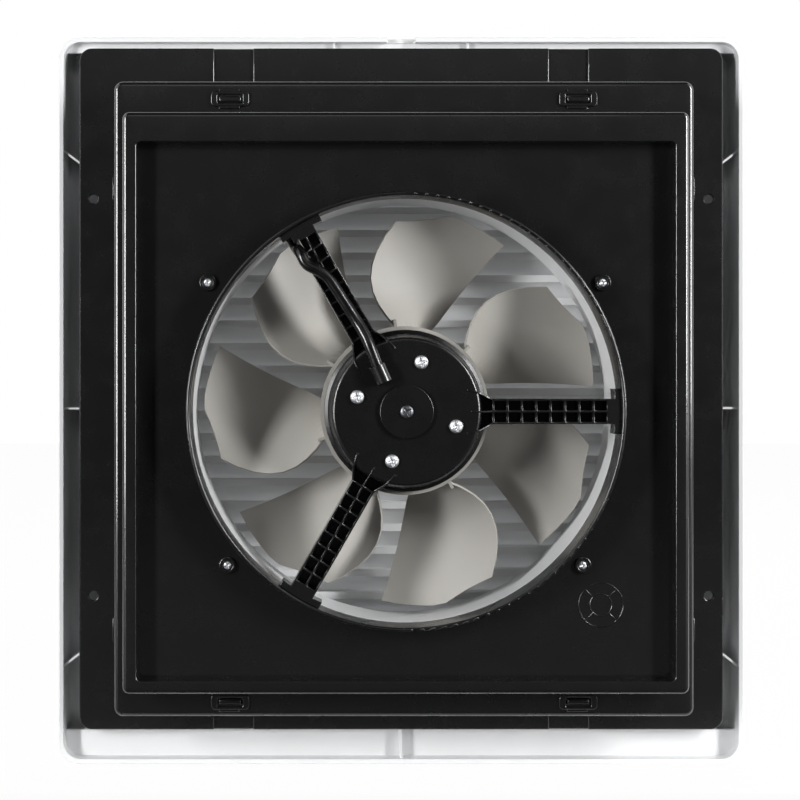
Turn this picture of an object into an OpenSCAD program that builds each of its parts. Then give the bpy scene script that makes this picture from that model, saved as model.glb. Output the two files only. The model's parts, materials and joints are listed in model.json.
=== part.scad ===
// Square-collar exhaust fan, 250 mm class, seen from the rear in the photograph.
// The shapes are drawn lying down: x to the right, y up, z towards the rear of the fan.
// The wall plane is z = 0, and upright() stands each piece up in the frame of the part.

/* [Air path] */
// Inner radius of the round air path
duct_r = 129.4; // [126:0.1:134]
// Wall of the rear ring and of the intake duct
duct_wall = 2.6; // [2:0.1:4]
// Radius of the bell mouth on the room side
bell_r = 14; // [8:1:16]
// How far the bell mouth reaches in front of the wall plane
bell_depth = 9; // [7:0.5:11]
// Height of the rear lip of the ring above the wall plane
lip_z = 66; // [64:0.5:72]
// Height at which the ring ends and the intake duct begins
ring_z = 45; // [44:0.5:45.5]
// Distance of the ring screws from the outside of the ring
ring_screw_out = 11; // [10:0.5:13]

/* [Collar] */
// Gap between the ring and the sides of the square recess
recess_gap = 30.5; // [27:0.5:34]
// Depth of the recess
recess_depth = 10; // [8:0.5:12]
// Height of the rear face of the collar above the wall plane
collar_z = 60; // [58:0.5:62]
// Height of the step of the collar
step_z = 37; // [33:0.5:39]
// Rim of the rear face beside the recess
rim_side = 8.5; // [6:0.5:10]
// Rim of the rear face above the recess
rim_top = 18; // [10:0.5:24]
// Rim of the rear face below the recess
rim_bottom = 8; // [5:0.5:12]
// Width of the step at the sides
step_side = 8; // [6:0.5:12]
// Width of the step at the top
step_top = 22.5; // [18:0.5:26]
// Width of the step at the bottom
step_bottom = 18.5; // [16:0.5:22]
// Wall of the black mouldings
wall = 2.5; // [2:0.1:3]
// Radius of the rounded rear edges of the collar
edge_r = 3; // [1.6:0.2:3.2]

/* [Mounting frame] */
// Width of the flange at the sides
flange_side = 27; // [24:0.5:32]
// Width of the flange at the top
flange_top = 27.5; // [24:0.5:32]
// Width of the flange at the bottom
flange_bottom = 16.5; // [14:0.5:20]
// Thickness of the flange
flange_t = 3; // [2.5:0.1:4]
// Upright spacing of the wall screw holes
hole_spacing = 254; // [240:1:270]
// Distance of the wall screw holes from the side edge of the flange
hole_inset = 9; // [7:0.5:11]
// Radius of the wall screw holes
hole_r = 2.8; // [2.2:0.1:3.2]
// How far the fan axis lies below the middle of the wall screw holes
axis_drop = 7; // [4:0.5:10]
// Distance of the snap hooks and flange channels from the middle
hook_x = 107.2; // [100:0.5:115]
// Width of the flange channels
channel_w = 25; // [20:1:30]

/* [Front cover] */
// Gap between the flange and the side walls of the cover
cover_gap_side = 10; // [8:0.5:14]
// Gap between the flange and the top wall of the cover
cover_gap_top = 4; // [3:0.5:8]
// Gap between the flange and the bottom wall of the cover
cover_gap_bottom = 19; // [15:0.5:24]
// Wall of the white cover
cover_wall = 3; // [2.4:0.1:3.6]
// Depth of the cover in front of the wall plane
cover_depth = 30; // [29:0.5:40]
// Corner radius of the cover
cover_corner = 14; // [12:0.5:20]
// Radius of the rounded front edges of the cover
cover_edge = 8; // [5:0.5:9]
// Depth of the ledge along the bottom of the cover, below its rim
ledge_depth = 10; // [8:0.5:14]
// Depth of the ledge along the top of the cover, below its rim
top_ledge_depth = 6.5; // [6.5:0.5:10]
// Number of louvre slats
slat_count = 21; // [19:1:21]
// Spacing of the louvre slats
slat_pitch = 14.65; // [14:0.05:15]
// Thickness of a slat
slat_t = 1.4; // [1.2:0.1:2]
// Height of the lip along the rear edge of a slat
rear_lip = 4.7; // [3:0.1:5.5]

/* [Motor spider] */
// Width of an arm
arm_w = 15; // [12:0.5:18]
// Height of the front side of the arms above the wall plane
arm_z = 52; // [51:0.5:54]
// Depth of an arm
arm_depth = 12; // [9:0.5:12.5]
// Length of one cell of the lattice
cell_pitch = 8.6; // [7:0.1:10]
// Number of cells along an arm
cell_count = 8; // [6:1:9]
// Thickness of the lattice ribs
rib_t = 1.1; // [1:0.1:1.8]
// Radius of the motor cover
hood_r = 48; // [46:0.5:49]
// Height of the rear face of the motor cover
hood_z = 68; // [67:0.5:69]
// Radius of the circle of motor screws
motor_screw_r = 30.8; // [28:0.2:33]

/* [Impeller] */
// Gap between the blade tips and the air path
tip_gap = 4.4; // [3:0.1:7]
// Outer radius of the hub
hub_r = 51.6; // [51:0.1:54]
// Number of blades
blade_count = 7; // [5:1:8]
// Thickness of a blade
blade_t = 2.2; // [1.8:0.1:2.8]
// Height of the rear rim of the hub
hub_z = 45; // [43:0.5:46]
// Height of the front face of the hub
hub_front_z = 3.5; // [3:0.5:4.5]
// Wall of the hub
hub_wall = 2.4; // [2:0.1:3]

/* [Motor] */
// Gap between the motor cover and the motor shells
shell_gap = 4; // [3:0.5:5]
// Wall of the motor shells
shell_wall = 2.3; // [2:0.1:3]
// Radius of the shaft
shaft_r = 4; // [3.5:0.1:4.5]
// Iron between the slots and the bore of the stator
tooth_t = 4.4; // [3.6:0.1:6]
// Air gap between rotor and stator
air_gap = 0.4; // [0.3:0.05:0.6]
// Length of the stack of laminations
stack = 20; // [16:0.5:22]
// Radius of the motor cable
cable_r = 3.4; // [3:0.1:3.5]

/* [Hidden] */
$fn = 64;

// Clearances
snug = 0.2;      // between a piece and the seat that locates it
press = 0.02;    // between pieces pressed together
running = 0.03;  // between the shaft and its bushes
eps = 0.5;       // how far a cut runs past a face

black = "#1b1b1c";
white = "#eceded";
taupe = "#a7a29a";
steel = "#c4c6c8";

// Nested outlines, each as [width, height, middle in y]
ring_out = duct_r + duct_wall;
recess = 2 * (ring_out + recess_gap);
axis_y = -axis_drop;
rim_box = [recess + 2 * rim_side, recess + rim_top + rim_bottom,
    axis_y + (rim_top - rim_bottom) / 2];
step_box = [rim_box[0] + 2 * step_side, rim_box[1] + step_top + step_bottom,
    rim_box[2] + (step_top - step_bottom) / 2];
flange_box = [step_box[0] + 2 * flange_side, step_box[1] + flange_top + flange_bottom,
    step_box[2] + (flange_top - flange_bottom) / 2];
cover_box = [flange_box[0] + 2 * (cover_gap_side + cover_wall),
    flange_box[1] + cover_gap_top + cover_gap_bottom + 2 * cover_wall,
    flange_box[2] + (cover_gap_top - cover_gap_bottom) / 2];
function grown(b, d) = [b[0] + 2 * d, b[1] + 2 * d, b[2]];
function top_of(b) = b[2] + b[1] / 2;
function bottom_of(b) = b[2] - b[1] / 2;

rim_corner = edge_r + 1.2;
step_corner = edge_r + 2.4;
flange_corner = 8;
panel_z = collar_z - recess_depth;
panel_front = panel_z - wall;
ring_screw_r = ring_out + ring_screw_out;
ring_flange_r = ring_screw_r + 9;
socket_t = 2.5;
ring_screw_angles = [33, 147, 221, 319];
foot_depth = 0.6;
locator_t = 2;
locator_h = 6;
window_box = grown(step_box, -wall - snug - locator_t);
window_corner = max(step_corner - wall - snug - locator_t, 0.4);
hook_ys = [(top_of(step_box) + top_of(rim_box)) / 2,
    (bottom_of(step_box) + bottom_of(rim_box)) / 2];
hook_w = 13.6;
hook_t = 2.6;
hole_x = flange_box[0] / 2 - hole_inset;

window = slat_count * slat_pitch;
window_y = cover_box[2];
grille_frame = 4;
top_rib_x = 43;
front_lip = 2.6;
lip_t = 1.6;
cover_face = -cover_depth;
grille_front = cover_face + cover_wall;
bell_front = -bell_depth;
bell_lip = 4.3;
grille_rear = bell_front - 3;
post_x = 140;
post_r = 3;
socket_r = 5.5;
socket_h = 9;
post_ys = [top_of(flange_box) - 12, bottom_of(flange_box) + socket_r + 2.5];
cover_rib = 1.6;
ledge_t = 2;
ledge_w = cover_wall + cover_gap_bottom - 2;
top_ledge_w = cover_wall + cover_gap_top + 2;
cover_rib_angles = [0, 37.4, 142.6, 180, 217.4, 270, 322.6];

arm_angles = [0, 120, 240];
arm_top = arm_z + arm_depth;
cell_start = duct_r - 8.5 - cell_count * cell_pitch;
foot_t = 4;
foot_w = 27;
foot_z = 50;
lug_w = 6;
lug_x = 9;
lug_z = [56, 60];
hood_t = 2.5;
hood_in = hood_z - hood_t;
hood_bead = 1.3;
hood_edge = 2.4;
hood_foot_r = hood_r - 0.9;
hood_top_r = hood_foot_r - 2.3;
flare = [[-0.7, 2.5], [-3.7, 4], [-9.7, 5.7], [-12, 6]];
flare_t = 1.2;
flare_rise = 0.4;
middle_rib_r = hood_r - 9.5;
boss_r = 16;
boss_h = 2;
motor_angles = [73.5, 163.5, 253.5, 343.5];

root_r = hub_r - 1.3;
blade_rows = 8;
blade_cols = 9;
blade_root = [8, 42];
blade_tip = [12, 34];
tip_r = duct_r - tip_gap;
camber = 0.09;
insert_r = 6.5;
insert_len = 7;

shell_r = hood_r - hood_t - shell_gap;
post_len = 3.5;
shell_rear = hood_in - post_len;
shell_plate = 2.5;
bush_r = 7;
bush_len = 8;
bush_end = 2;
end_space = 5;
rear_bush_z = shell_rear - bush_end - bush_len;
stack_z = [rear_bush_z - end_space - stack, rear_bush_z - end_space];
front_bush_z = stack_z[0] - end_space - bush_len;
shell_front = front_bush_z - bush_end;
bush_boss_r = 12.5;
felt_r = 10;
core_r = shell_r - shell_wall - 0.1;
core_fit = 3;
slot_pos_r = core_r - 11.6;
slot_r = 4.5;
rotor_r = slot_pos_r - slot_r - tooth_t - air_gap;
cage_step = 0.4;
cage_w = 5.8;
cage_t = 3.5;
liner = 0.4;
slot_angles = [22.5 : 45 : 359];
bolt_pos_r = core_r - 3.7;
bolt_r = 1.5;
bolt_angles = [0, 90, 180, 270];
spacer_r = 6.5;
retainer_t = 0.8;
coil_t = 6.2;
shaft_rear = rear_bush_z + bush_len - 0.5;
shaft_front = hub_front_z - 5.5;

box_size = [50, 38, 23];
box_at = [25.5 - recess / 2, recess / 2 - 23.5];
box_wall = 2;

inlet_at = [-15.5, 22.5];
inlet_turn = 114;
inlet_len = 11;
inlet_r = 4.7;
inlet_z = hood_z + flare_rise + cable_r + 0.3;
entry_turn = arm_angles[1] + 3.3;
entry_z = 39.6;
box_entry = [box_at[1] - 2, panel_front - 11.5];
function from_box(x, y, z) = [box_at[0] + box_size[0] / 2 + x, box_entry[0] + y, box_entry[1] + z];
function radial(r) = [r * cos(entry_turn), r * sin(entry_turn), entry_z];
function by_arm(along, aside, z) = let (c = cos(arm_angles[1]), s = sin(arm_angles[1]))
    [along * c - aside * s, along * s + aside * c, z];
function in_inlet(d) = [inlet_at[0] + d * cos(inlet_turn), inlet_at[1] + d * sin(inlet_turn),
    inlet_z];
// The route of the motor cable, from the terminal box through the duct wall, along
// the upper left arm and into the motor cover; x and y from the fan axis, z as drawn
cable_route = [from_box(-5, 0, 0), from_box(-1, 0, 0), from_box(3.5, 0, 0),
    from_box(12, -1.7, 0.6), from_box(21.5, -7, 2.2), from_box(29, -13.5, 3.3),
    radial(ring_out + 6), radial(duct_r + duct_wall / 2), radial(duct_r - 3.5),
    by_arm(duct_r - 7.6, 7.5, 40.9), by_arm(duct_r - 10.8, 7.6, 44.3),
    by_arm(duct_r - 12.3, 7.6, 50), by_arm(duct_r - 12.7, 7.6, 56), by_arm(duct_r - 13.2, 7.6, 61.5),
    by_arm(duct_r - 16.4, 7.6, 66.2), by_arm(106, 7.5, 67.8), by_arm(99.5, 3.7, 67.9),
    by_arm(93.2, 1, 67.8), by_arm(84.3, 0, 67.8), by_arm(74.4, -0.5, 67.8),
    by_arm(61, -1.2, 68), by_arm(53, -1.1, 70), by_arm(46.5, -0.9, 71.8), by_arm(40.5, -0.4, inlet_z),
    in_inlet(9.5), in_inlet(5.5), in_inlet(2), in_inlet(-1.2)];
cable_sides = 10;
cable_steps = 2;
entry_at = radial(duct_r + duct_wall / 2);
grommet_r = 4.4;
grommet_lip = 0.9;
cable_cut = [duct_r - 19.8, duct_r - 7.9];
cable_cut_at = 3.9;
date_at = [119, -118];
inlet_back = 1.5;
hood_rim = hood_z - 20;
cell_w = (arm_w - 3 * rib_t) / 2;
channel_depth = 1.5;
channel_spans = [[top_of(step_box), top_of(flange_box)],
    [bottom_of(flange_box), bottom_of(step_box)]];
barb_w = 1.3;
barb_h = 1.7;
pad_ys = [130, -143];
rim_gap = 0.3;
box_front = panel_front - box_size[2];
box_ears = [for (s = [-1, 1]) box_at[0] + s * (box_size[0] / 2 - 7)];
ear_y = box_at[1] - box_size[1] / 2 - 5;
ear_z = panel_front - 6;
lid_posts = [for (s = [-1, 1]) [box_at[0] + s * (box_size[0] / 2 - 4),
    box_at[1] + s * (box_size[1] / 2 - 4)]];
supply_x = box_at[0] - box_size[0] / 2 + 12;
block_at = [box_at[0] - 14, box_at[1] - box_size[1] / 2 + 3];
capacitor_size = [box_size[0] - 14, 13, 17];
capacitor_at = [box_at[0] - box_size[0] / 2 + box_wall + 1, box_at[1]];
panel_screw_len = 9;
ear_screw_len = 7.5;
lid_screw_len = 8;
gland_r = 6;
gland_nut_r = 7.6;
gland_len = 10;
gland_bore = 3.5;
block_z = panel_front - box_wall - 5.5;
tip_peak = 0.53;
tip_drop = 3.3;
tip_scoop = 8.2;
blade_turn = 183 - 360 * 3 / 7;
nut_front = shaft_front - 4;
nut_r = 8;
nut_brim = 2;

module upright() {
    rotate([90, 0, 0]) children();
}

module slab(z0, z1) {
    translate([0, 0, z0]) linear_extrude(z1 - z0) children();
}

module tube(r_in, r_out, z0, z1) {
    slab(z0, z1) difference() {
        circle(r_out);
        circle(r_in);
    }
}

module disc(r, z0, z1) {
    translate([0, 0, z0]) cylinder(r = r, h = z1 - z0);
}

module on_axis() {
    translate([0, axis_y, 0]) children();
}

module around(angles, r) {
    for (a = angles) rotate([0, 0, a]) translate([r, 0, 0]) children();
}

module rounded(w, h, r) {
    square([w - 2 * r, h], center = true);
    square([w, h - 2 * r], center = true);
    for (x = [-1, 1], y = [-1, 1]) translate([x * (w / 2 - r), y * (h / 2 - r)]) circle(r);
}

module outline(b, r) {
    translate([0, b[2]]) rounded(b[0], b[1], r);
}

// A slab of outline b whose edges at the end z1 are rounded by e
module soft_slab(b, r, z0, z1, e) {
    w = b[0] / 2;
    h = b[1] / 2;
    slab(z0, z1 - e) outline(b, r);
    slab(z1 - e, z1) outline(grown(b, -e), r - e);
    translate([0, b[2], z1 - e]) for (s = [0, 1]) rotate([0, 0, 180 * s]) {
        translate([w - e, h - r, 0]) rotate([90, 0, 0]) linear_extrude(b[1] - 2 * r) quarter(e);
        translate([r - w, h - e, 0]) rotate([90, 0, 90]) linear_extrude(b[0] - 2 * r) quarter(e);
        for (q = [0, 1]) translate([(1 - 2 * q) * (w - r), h - r, 0]) rotate([0, 0, 90 * q])
            rotate_extrude(angle = 90) translate([r - e, 0]) quarter(e);
    }
}

module quarter(e) {
    intersection() {
        circle(e);
        square(e);
    }
}

// A cross-head pan screw with the underside of its head at z = 0
module pan_screw(head_r, head_h, shank_r, shank_len) {
    difference() {
        union() {
            rotate_extrude() intersection() {
                translate([0, head_h - 1.6 * head_r]) circle(1.6 * head_r);
                square([head_r, head_h]);
            }
            disc(shank_r, -shank_len, eps);
        }
        for (a = [0, 90]) rotate([0, 0, a]) translate([0, 0, head_h])
            cube([1.3 * head_r, 0.26 * head_r, head_h], center = true);
    }
}

// The black frame that is screwed to the wall

module mounting_frame() color(black) upright() {
    difference() {
        union() {
            slab(-flange_t, 0) outline(flange_box, flange_corner);
            slab(-flange_t, locator_h)
                outline(grown(step_box, -wall - snug), step_corner - wall - snug);
            for (s = [-1, 1]) {
                for (y = post_ys) translate([s * post_x, y, 0])
                    disc(socket_r, -flange_t - socket_h, -flange_t + eps);
                translate([s * hook_x, 0, 0]) channel_backs();
            }
        }
        slab(-2 * flange_t, locator_h + eps)
            outline(window_box, window_corner);
        slab(-foot_depth, eps) difference() {
            outline(grown(step_box, snug), step_corner + snug);
            outline(grown(step_box, -wall - snug), step_corner - wall - snug);
        }
        for (x = [-1, 1], y = [-1, 1]) translate([x * hole_x, y * hole_spacing / 2, 0])
            disc(hole_r, -flange_t - eps, eps);
        for (s = [-1, 1]) {
            for (y = post_ys) translate([s * post_x, y, 0])
                disc(post_r + snug / 2, -flange_t - socket_h - eps, -flange_t);
            translate([s * hook_x, 0, 0]) channel_cuts();
        }
    }
    for (s = [-1, 1], end = [0, 1]) translate([s * hook_x, 0, 0])
        snap_hook(hook_ys[end], [top_of(window_box), bottom_of(window_box)][end]);
}

// The shallow channels that cross the flange from its edge to the collar
module channel_cuts() {
    for (e = channel_spans) translate([-channel_w / 2, e[0] - eps, -channel_depth])
        cube([channel_w, e[1] - e[0] + 2 * eps, flange_t]);
}

module channel_backs() {
    for (e = channel_spans) translate([-channel_w / 2 - 2, e[0], -flange_t - channel_depth])
        cube([channel_w + 4, e[1] - e[0], flange_t]);
}

// A leg that rises from the window of the frame and hooks over the step of the collar
module snap_hook(y, edge_y) {
    translate([0, y, 0]) mirror([0, edge_y < y ? 1 : 0, 0]) {
        translate([-hook_w / 2, -hook_t / 2, -flange_t])
            cube([hook_w, hook_t / 2 + abs(edge_y - y) + eps, flange_t]);
        translate([-hook_w / 2, -hook_t / 2, -flange_t])
            cube([hook_w, hook_t, flange_t + step_z + barb_h]);
        rotate([90, 0, 90]) linear_extrude(hook_w, center = true)
            polygon([[0, step_z + snug], [-hook_t / 2 - barb_w, step_z + snug],
                [-hook_t / 2, step_z + barb_h], [0, step_z + barb_h]]);
    }
}

// The black collar with its step, its square recess and the panel in it

module fan_housing() color(black) upright() difference() {
    union() {
        difference() {
            union() {
                collar_shell();
                slab(panel_front, collar_z - wall / 2) on_axis_square(recess + 2 * wall, 4);
            }
            slab(panel_z, collar_z + eps) on_axis_square(recess, 3);
        }
        on_axis() {
            around(ring_screw_angles, ring_screw_r) tube(3.1, 5, panel_z - eps, panel_z + 2);
            translate([date_at[0], date_at[1], panel_z]) date_ring();
            for (x = box_ears) translate([x, ear_y, 0]) disc(3.5, ear_z, panel_front + eps);
        }
        for (x = [-1, 1], y = hook_ys) translate([x * hook_x, y, 0]) {
            slab(step_z - eps, step_z + 1.5) rounded(hook_w + 9.8, 9, 2.5);
            for (s = [-1, 1]) translate([-hook_w / 2, s > 0 ? 4 : -6, step_z - eps])
                cube([hook_w - 1, 2, eps + 1.1]);
        }
        for (x = [-1, 1], y = pad_ys) translate([x * step_box[0] / 2, y, step_z / 2])
            cube([2.4, 14, step_z - 8], center = true);
    }
    on_axis() {
        disc(ring_out + 0.5, 0, collar_z);
        around(ring_screw_angles, ring_screw_r) disc(1.7, panel_front - eps, panel_z + eps);
        for (x = box_ears) translate([x, ear_y, 0]) disc(1.5, ear_z - eps, panel_front - 0.5);
    }
    for (x = [-1, 1], y = hook_ys) translate([x * hook_x, y, 0]) {
        slab(step_z, step_z + 2) rounded(hook_w + 2, 5.8, 1);
        slab(step_z - wall - eps, step_z + eps) square([hook_w + 0.6, hook_t + 0.6], center = true);
    }
}

module on_axis_square(side, r) {
    translate([0, axis_y]) rounded(side, side, r);
}

module collar_shell() difference() {
    union() {
        soft_slab(step_box, step_corner, -foot_depth, step_z, edge_r);
        soft_slab(rim_box, rim_corner, step_z - wall, collar_z, edge_r);
    }
    slab(-foot_depth - eps, step_z - wall) outline(grown(step_box, -wall), step_corner - wall);
    slab(-foot_depth - eps, collar_z - wall) outline(grown(rim_box, -wall), max(rim_corner - wall, 0.4));
}

// A plain date ring of two raised circles and four spokes, with no lettering
module date_ring() {
    tube(13.2, 13.8, -eps, 0.4);
    tube(6.4, 7, -eps, 0.4);
    for (a = [45, 135, 225, 315]) rotate([0, 0, a]) translate([6.7, -0.3, -eps])
        cube([6.8, 0.6, eps + 0.4]);
}

// The black ring whose lip stands round the impeller; the arms lock into it

module fan_ring() color(black) upright() on_axis() difference() {
    union() {
        rotate_extrude($fn = 180) {
            translate([duct_r, ring_z]) square([duct_wall, lip_z - duct_wall / 2 - ring_z]);
            translate([duct_r + duct_wall / 2, lip_z - duct_wall / 2]) circle(duct_wall / 2);
            translate([ring_out - eps, panel_front - wall])
                square([ring_flange_r - ring_out + eps, wall]);
            translate([ring_out + snug, ring_z - socket_t]) square([socket_t, socket_t + eps]);
        }
        around(ring_screw_angles, ring_screw_r) disc(4, panel_front - 9, panel_front - wall + eps);
    }
    around(ring_screw_angles, ring_screw_r) disc(1.5, panel_front - 8.5, panel_front + eps);
    around(arm_angles, duct_r + duct_wall / 2) for (s = [-1, 1])
        translate([0, s * lug_x, (lug_z[0] + lug_z[1]) / 2])
            cube([2 * duct_wall, lug_w + 2 * snug, lug_z[1] - lug_z[0] + 2 * snug], center = true);
    translate([entry_at[0], entry_at[1], ring_z - 2 * socket_t]) rotate([0, 0, entry_turn])
        translate([0, -grommet_r - grommet_lip - 1, 0])
            cube([2 * grommet_r, 2 * (grommet_r + grommet_lip + 1), 2 * socket_t]);
}

// The white duct in front of the ring, with its bell mouth towards the room

module intake_duct() color(white) upright() on_axis() difference() {
    rotate_extrude($fn = 180) {
        translate([duct_r, bell_front + bell_r])
            square([duct_wall, ring_z - snug - bell_front - bell_r]);
        translate([duct_r + bell_r, bell_front + bell_r]) intersection() {
            difference() {
                circle(bell_r);
                circle(bell_r - duct_wall);
            }
            translate([-bell_r, -bell_r]) square(bell_r);
        }
        translate([duct_r + bell_r - 0.5, bell_front]) square([bell_lip + 0.5, duct_wall]);
    }
    translate(entry_at) rotate([0, 0, entry_turn]) rotate([0, 90, 0])
        cylinder(r = grommet_r, h = 20, center = true);
}

// The white cover on the room side

module front_cover() color(white) upright() {
    difference() {
        union() {
            mirror([0, 0, 1]) difference() {
                soft_slab(cover_box, cover_corner, rim_gap, cover_depth, cover_edge);
                soft_slab(grown(cover_box, -cover_wall), cover_corner - cover_wall, 0,
                    cover_depth - cover_wall, cover_edge - cover_wall);
            }
            slab(cover_face + cover_wall - eps, cover_face + cover_wall + 10)
                translate([0, window_y]) square(window + 2 * (grille_frame + snug + 2), center = true);
            intersection() {
                mirror([0, 0, 1]) soft_slab(grown(cover_box, eps - cover_wall),
                    cover_corner - cover_wall + eps, flange_t + snug,
                    cover_depth - cover_wall + eps, cover_edge - cover_wall + eps);
                union() {
                    cover_ribs();
                    translate([-cover_box[0] / 2, bottom_of(cover_box), -ledge_depth - ledge_t])
                        cube([cover_box[0], ledge_w, ledge_t]);
                    translate([-cover_box[0] / 2, top_of(cover_box) - top_ledge_w,
                        -top_ledge_depth - ledge_t])
                        cube([cover_box[0], top_ledge_w, ledge_t]);
                }
            }
        }
        slab(cover_face + cover_wall, 0) translate([0, window_y])
            square(window + 2 * (grille_frame + snug), center = true);
        slab(cover_face - eps, 0) translate([0, window_y]) square(window, center = true);
        translate([-9, top_of(cover_box) - cover_wall - eps, -6]) cube([18, cover_wall + 1, 7]);
    }
    for (x = [-1, 1], y = post_ys) translate([x * post_x, y, 0])
        disc(post_r, cover_face + cover_wall - eps, -flange_t - 0.5);
}

// Ribs under the flange; inside the window of the mounting frame they stay low
module cover_ribs() difference() {
    union() {
        on_axis() for (a = cover_rib_angles) rotate([0, 0, a])
            translate([window / 2 + 6, -cover_rib / 2, cover_face])
                cube([cover_box[1], cover_rib, cover_depth]);
        for (x = [-top_rib_x, top_rib_x])
            translate([x - cover_rib / 2, window_y + window / 2 + 5, cover_face])
            cube([cover_rib, cover_box[1], cover_depth]);
    }
    slab(cover_face + cover_wall + 5, 0) outline(grown(window_box, 1), step_corner);
}

// The white louvre: inclined slats in a square frame, and the shroud that meets the duct

module louvre_grille() color(white) upright() {
    translate([0, window_y, 0]) {
        slab(cover_face + cover_wall, grille_rear) difference() {
            square(window + 2 * grille_frame, center = true);
            square(window, center = true);
        }
        for (i = [0 : slat_count - 1]) translate([0, -window / 2 + i * slat_pitch, 0]) slat();
    }
    on_axis() tube(duct_r + bell_r + 0.8, duct_r + bell_r + bell_lip - 0.8, grille_rear - 1, bell_front);
}

// One slat rises towards the rear, with a lip up its rear edge and one down its front edge
module slat() {
    top = slat_pitch + 0.4;
    back = grille_rear - lip_t;
    rotate([90, 0, 90]) linear_extrude(window + 2, center = true)
        polygon([[-front_lip, grille_front], [slat_t, grille_front], [top, back - 0.3],
            [top, grille_rear], [top - rear_lip, grille_rear], [top - rear_lip, back],
            [top - 2.3, back], [0, grille_front + lip_t], [-front_lip, grille_front + lip_t]]);
}

// The black motor cover with its three lattice arms, one moulding

module motor_spider() color(black) upright() on_axis() difference() {
    union() {
        rotate_extrude() motor_cover_profile();
        for (a = arm_angles) rotate([0, 0, a]) arm();
        translate([inlet_at[0], inlet_at[1], 0]) rotate([0, 0, inlet_turn]) {
            translate([0, 0, inlet_z]) rotate([0, 90, 0])
                cylinder(r = inlet_r, h = inlet_len, center = true);
            translate([-inlet_len / 2, -inlet_r, hood_in + 1])
                cube([inlet_len, 2 * inlet_r, inlet_z - hood_in - 1]);
        }
    }
    around(motor_angles, motor_screw_r) disc(2.2, hood_in - eps, hood_z + eps);
    disc(2.1, hood_in - eps, hood_z + boss_h + eps);
    translate([inlet_at[0], inlet_at[1], 0]) disc(2.6, hood_in - eps, inlet_z);
    rotate([0, 0, arm_angles[1]]) translate([cable_cut[0], cable_cut_at, arm_z - eps])
        cube([cable_cut[1] - cable_cut[0], arm_w, arm_depth + 2 * eps]);
    rotate_extrude() polygon([[0, hood_rim - eps], [hood_foot_r - hood_t, hood_rim - eps],
        [hood_foot_r - hood_t, hood_rim + 3], [hood_top_r - hood_t + 0.5, hood_in - 3.5],
        [hood_top_r - hood_t - 3, hood_in], [0, hood_in]]);
    translate([inlet_at[0], inlet_at[1], inlet_z]) rotate([0, 0, inlet_turn])
        rotate([0, 90, 0]) translate([0, 0, -inlet_back])
            cylinder(r = cable_r + snug, h = inlet_len);
}

// Half the section of the motor cover, with a bead at its foot and a rounded upper edge
module motor_cover_profile() {
    polygon([[0, hood_rim], [hood_r + hood_bead, hood_rim], [hood_r + hood_bead, hood_rim + 2],
        [hood_foot_r, hood_rim + 2 + hood_bead], [hood_top_r, hood_z - hood_edge],
        [hood_top_r - hood_edge, hood_z - hood_edge], [hood_top_r - hood_edge, hood_z],
        [boss_r, hood_z], [boss_r, hood_z + boss_h], [0, hood_z + boss_h]]);
    translate([hood_top_r - hood_edge, hood_z - hood_edge]) quarter(hood_edge);
}

module arm() {
    difference() {
        union() {
            translate([cell_start - rib_t / 2, -arm_w / 2, arm_z])
                cube([duct_r - 3 - cell_start + rib_t / 2, arm_w, arm_depth]);
            arm_root();
            intersection() {
                tube(duct_r - snug - foot_t, duct_r - snug, foot_z, arm_top);
                translate([duct_r - 10, -foot_w / 2, foot_z - 1]) cube([20, foot_w, arm_top]);
            }
            for (s = [-1, 1]) translate([duct_r - 2, s * lug_x - lug_w / 2, lug_z[0]])
                cube([duct_wall + 1.4, lug_w, lug_z[1] - lug_z[0]]);
        }
        for (i = [0 : cell_count - 1], s = [0, 1])
            translate([cell_start + i * cell_pitch + rib_t / 2,
                s * (cell_w + rib_t) - cell_w - rib_t / 2, arm_z + 1.5])
                cube([cell_pitch - rib_t, cell_w, arm_depth]);
    }
}

// The root of an arm: two walls that spread and run up over the edge of the motor cover,
// a rib between them and a floor below
module arm_root() {
    slab(arm_z, arm_z + 1.5) polygon([for (s = [-1, 1], v = s < 0 ? [0, 1] : [1, 0])
        [v == 0 ? hood_foot_r - 1.8 : cell_start, s * (arm_w / 2 + (v == 0 ? flare[0][1] : 0))]]);
    intersection() {
        rotate([90, 0, 0]) linear_extrude(2 * arm_w, center = true)
            polygon([[hood_r - 14, hood_z - 0.6], [hood_r - 7, hood_z - 0.6],
                [hood_top_r - 1, hood_z - 5.5], [hood_foot_r - 1.8, arm_z], [cell_start, arm_z],
                [cell_start, arm_top], [cell_start - 1, arm_top],
                [hood_r - 5, hood_z + flare_rise], [hood_r - 14, hood_z + flare_rise]]);
        slab(arm_z - 1, hood_z + 1) {
            for (s = [-1, 1]) mirror([0, s < 0 ? 1 : 0, 0]) flare_wall();
            translate([middle_rib_r, -rib_t / 2]) square([cell_start - middle_rib_r, rib_t]);
        }
    }
}

module flare_wall() {
    outer = [[cell_start + eps, arm_w / 2], [cell_start, arm_w / 2],
        for (f = flare) [hood_r + f[0], arm_w / 2 + f[1]]];
    polygon(concat(outer, [for (i = [len(outer) - 1 : -1 : 0]) outer[i] - [0, flare_t]]));
}

// Screws

module panel_screws() color(steel) upright() on_axis()
    around(ring_screw_angles, ring_screw_r) translate([0, 0, panel_z]) rotate([0, 0, 20])
        pan_screw(2.7, 1.9, 1.4, panel_screw_len);

module motor_screws() color(steel) upright() on_axis()
    around(motor_angles, motor_screw_r) translate([0, 0, hood_z]) rotate([0, 0, 15])
        pan_screw(4.1, 2.6, 2, hood_z - shell_rear + 1.5);

module centre_screw() color("#77797b") upright() on_axis() translate([0, 0, hood_z + boss_h])
    rotate([0, 0, 35]) pan_screw(4, 1.6, 2, hood_z + boss_h - shell_rear + 1);

// The motor, from the motor cover towards the room

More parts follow.
